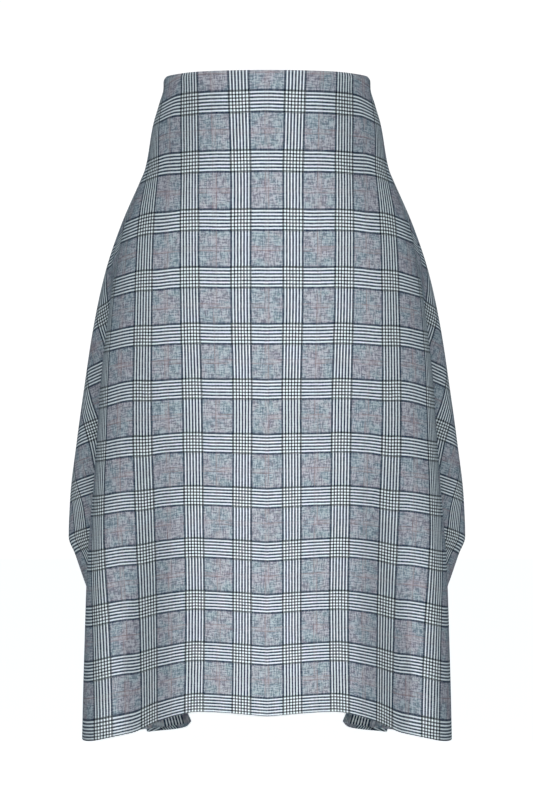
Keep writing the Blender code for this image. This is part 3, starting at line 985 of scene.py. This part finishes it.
def beside_seam(side, across, behind):
    """Points down the centre back at these distances from the seam and behind the face."""
    plan = on_side(side, [(CENTRE_BACK, CENTRE_BACK, 0, -place) for place in across])
    rows = []
    for depth in np.linspace(ZIP_TOP, ZIP_LENGTH, ZIP_ROWS):
        face, out, down, sideways = surface(depth, plan)
        rows.append(face - out * behind)
    return np.array(rows)


def coil_path(side):
    """The thread that winds down a tape beside the seam."""
    middle, sideways, deeper = (
        beside_seam(side, np.array([COIL_MIDDLE + shift]), TAPE_BEHIND + deep)[:, 0]
        for shift, deep in ((0, 0), (COIL_ACROSS, 0), (0, COIL_DEEP))
    )
    turns = (ZIP_LENGTH - ZIP_TOP) / COIL_PITCH
    angle = np.arange(int(turns * COIL_TURN_POINTS)) / COIL_TURN_POINTS * math.tau
    at = angle / math.tau / turns * (ZIP_ROWS - 1)
    rows = np.arange(ZIP_ROWS)
    middle, sideways, deeper = (read_line(line, rows, at) for line in (middle, sideways, deeper))
    sideways, deeper = sideways - middle, deeper - middle
    inward = deeper / np.linalg.norm(deeper, axis=1, keepdims=True)
    path = middle + sideways * np.cos(angle)[:, None] + deeper * np.sin(angle)[:, None]
    return path + inward * (TAPE_THICKNESS + COIL_DEEP + COIL_THREAD)


def build_cloth():
    """The front panel and the two back panels, with the check and their overlocked edges."""
    wool = check_material()
    navy_thread = thread_material("overlock_thread", OVERLOCK_DARK, OVERLOCK_LIGHT)
    half = front_columns()
    front = on_side(-1, half)[:-1] + on_side(1, half)
    back = back_columns()
    panels = (
        ("front_cloth", "front_panel", front, FRONT_FLAT, FRONT_AREA),
        ("back_cloth_left", "back_panel_left", on_side(1, back), BACK_FLAT, BACK_AREA),
        ("back_cloth_right", "back_panel_right", on_side(-1, back), BACK_FLAT, BACK_AREA),
    )
    for name, node, columns, flat, area in panels:
        points, counts = panel(columns, node.startswith("back"))
        cloth = grid_object(name, points, counts, CLOTH)
        cloth.data.materials.append(wool)
        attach(cloth, "skirt")
        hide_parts(node)
        stitches = overlock(name.replace("cloth", "overlock"), points, navy_thread)


def build_zip():
    """The tapes, their coils and the finish of the slider and its pull tab."""
    woven = tape_material()
    coil_thread = thread_material("coil_thread", TAPE_DARK, COIL_LIGHT)
    metal = lacquer_material()
    for side, name in ((1, "left"), (-1, "right")):
        across = np.linspace(TAPE_WIDTH, TAPE_EDGE, TAPE_COLUMNS)
        points = beside_seam(side, across, TAPE_BEHIND)
        flat = np.zeros((*points.shape[:2], 2))
        flat[:, :, 0] = across
        flat[:, :, 1] = np.linspace(0, ZIP_LENGTH - ZIP_TOP, ZIP_ROWS)[:, None]
        tape = grid_object(f"woven_tape_{name}", points, flat, TAPE_THICKNESS)
        tape.data.materials.append(woven)
        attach(tape, "skirt")
        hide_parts(f"zip_tape_{name}")
        paths = [coil_path(side)]
        coil = threads(f"zip_coil_{name}", paths, COIL_THREAD, COIL_SIDES, coil_thread)
    for name in ("zip_slider", "zip_pull_tab"):
        for slot in bpy.data.objects[name].material_slots:
            slot.material = metal


def add_light(name, location, target, size, power, spread=180.0):
    """A rectangular soft light aimed at a point."""
    data = bpy.data.lights.new(name, "AREA")
    data.shape = "RECTANGLE"
    data.size, data.size_y = size
    data.energy = power
    data.spread = math.radians(spread)
    light = bpy.data.objects.new(name, data)
    light.location = location
    aim = Vector(target) - Vector(location)
    light.rotation_euler = aim.to_track_quat("-Z", "Y").to_euler()
    bpy.context.scene.collection.objects.link(light)


def build_studio():
    """Camera, plain pale floor and soft light."""
    lens = bpy.data.cameras.new("camera")
    lens.lens = FOCAL_PIXELS / FRAME_HEIGHT_PIXELS * SENSOR
    lens.sensor_width = SENSOR
    lens.sensor_fit = "AUTO"
    lens.clip_end = 100
    camera = bpy.data.objects.new("camera", lens)
    camera.location = CAMERA_PLACE
    camera.rotation_euler = (math.pi / 2, 0, 0)
    bpy.context.scene.collection.objects.link(camera)
    bpy.context.scene.camera = camera
    bpy.context.scene.view_settings.view_transform = "Standard"

    floor_mesh = bpy.data.meshes.new("floor")
    half = FLOOR_SIZE / 2
    height = -LENGTH - FLOOR_DROP
    corners = [(x * half, y * half, height) for x, y in ((-1, -1), (1, -1), (1, 1), (-1, 1))]
    floor_mesh.from_pydata(corners, [], [(0, 1, 2, 3)])
    floor = bpy.data.objects.new("floor", floor_mesh)
    bpy.context.scene.collection.objects.link(floor)
    n = material("pale_floor")
    seen = n.new("ShaderNodeLightPath").outputs["Is Camera Ray"]
    n.finish({
        "Base Color": FLOOR_COLOUR,
        "Roughness": FLOOR_ROUGHNESS,
        "Emission Color": FLOOR_GLOW_COLOUR,
        "Emission Strength": n.mix(seen, FLOOR_GLOW, FLOOR_SEEN_GLOW),
    })
    floor_mesh.materials.append(n.owner)

    world = bpy.data.worlds.new("studio")
    bpy.context.scene.world = world
    n = Nodes(world, "Background")
    seen = n.new("ShaderNodeLightPath").outputs["Is Camera Ray"]
    n.finish({"Color": n.mix(seen, AMBIENT, SURROUND_SEEN)})

    middle = (0.0, 0.0, CAMERA_PLACE[2])
    add_light("key", KEY_PLACE, middle, SOFT_SIZE, KEY_POWER)
    add_light("back_fill", BACK_PLACE, middle, SOFT_SIZE, BACK_POWER)
    angle = math.radians(CROSS_ANGLE)
    for side in (1, -1):
        x, y = side * CROSS_DISTANCE * math.sin(angle), -CROSS_DISTANCE * math.cos(angle)
        target = (-side * CROSS_AIM[0], CROSS_AIM[1], CAMERA_PLACE[2])
        place = (x, y, CAMERA_PLACE[2])
        add_light("cross", place, target, CROSS_SIZE, CROSS_POWER, CROSS_SPREAD)


build_cloth()
build_zip()
build_studio()
